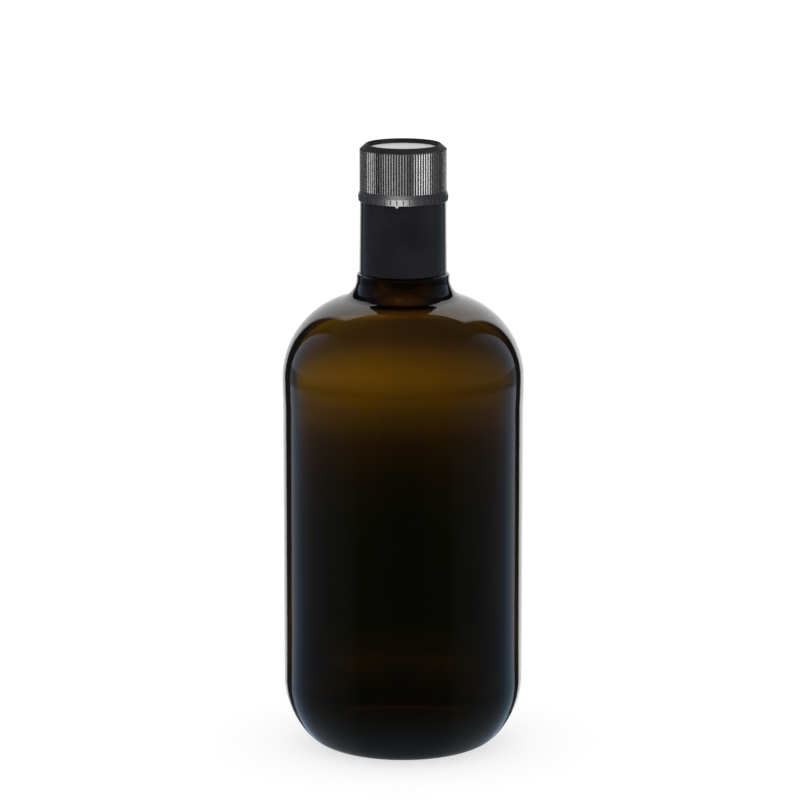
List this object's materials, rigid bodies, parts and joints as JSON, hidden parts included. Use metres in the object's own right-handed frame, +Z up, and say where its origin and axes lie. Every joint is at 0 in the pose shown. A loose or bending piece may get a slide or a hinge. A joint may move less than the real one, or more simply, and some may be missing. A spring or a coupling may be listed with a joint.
{
  "type": "glass bottle",
  "caption": "Empty round-shouldered bottle of dark amber glass with a tall black closure: a smooth skirt, a tamper band and a ribbed screw cap with a pale inlay.",
  "frame": {"origin": "centre of the foot, on the surface the bottle stands on", "axes": "+Z up along the bottle's axis, -Y towards the front, where the tamper band's pointer is, and +X to the right seen from the front"},
  "size_m": [0.088, 0.088, 0.2225],
  "materials": {
    "glass": "gloss, very dark amber, nearly black where two walls overlap",
    "skirt": "smooth black plastic with a soft gloss",
    "band": "smooth black plastic with a soft gloss",
    "cap": "black plastic with fine upright grip ribs",
    "disc": "matte pale grey inlay"
  },
  "bodies": {
    "root": {"bottle": "glass", "closure_sleeve": "skirt", "tamper_band": "band", "screw_cap": "cap", "top_disc": "disc"}
  },
  "joints": []
}
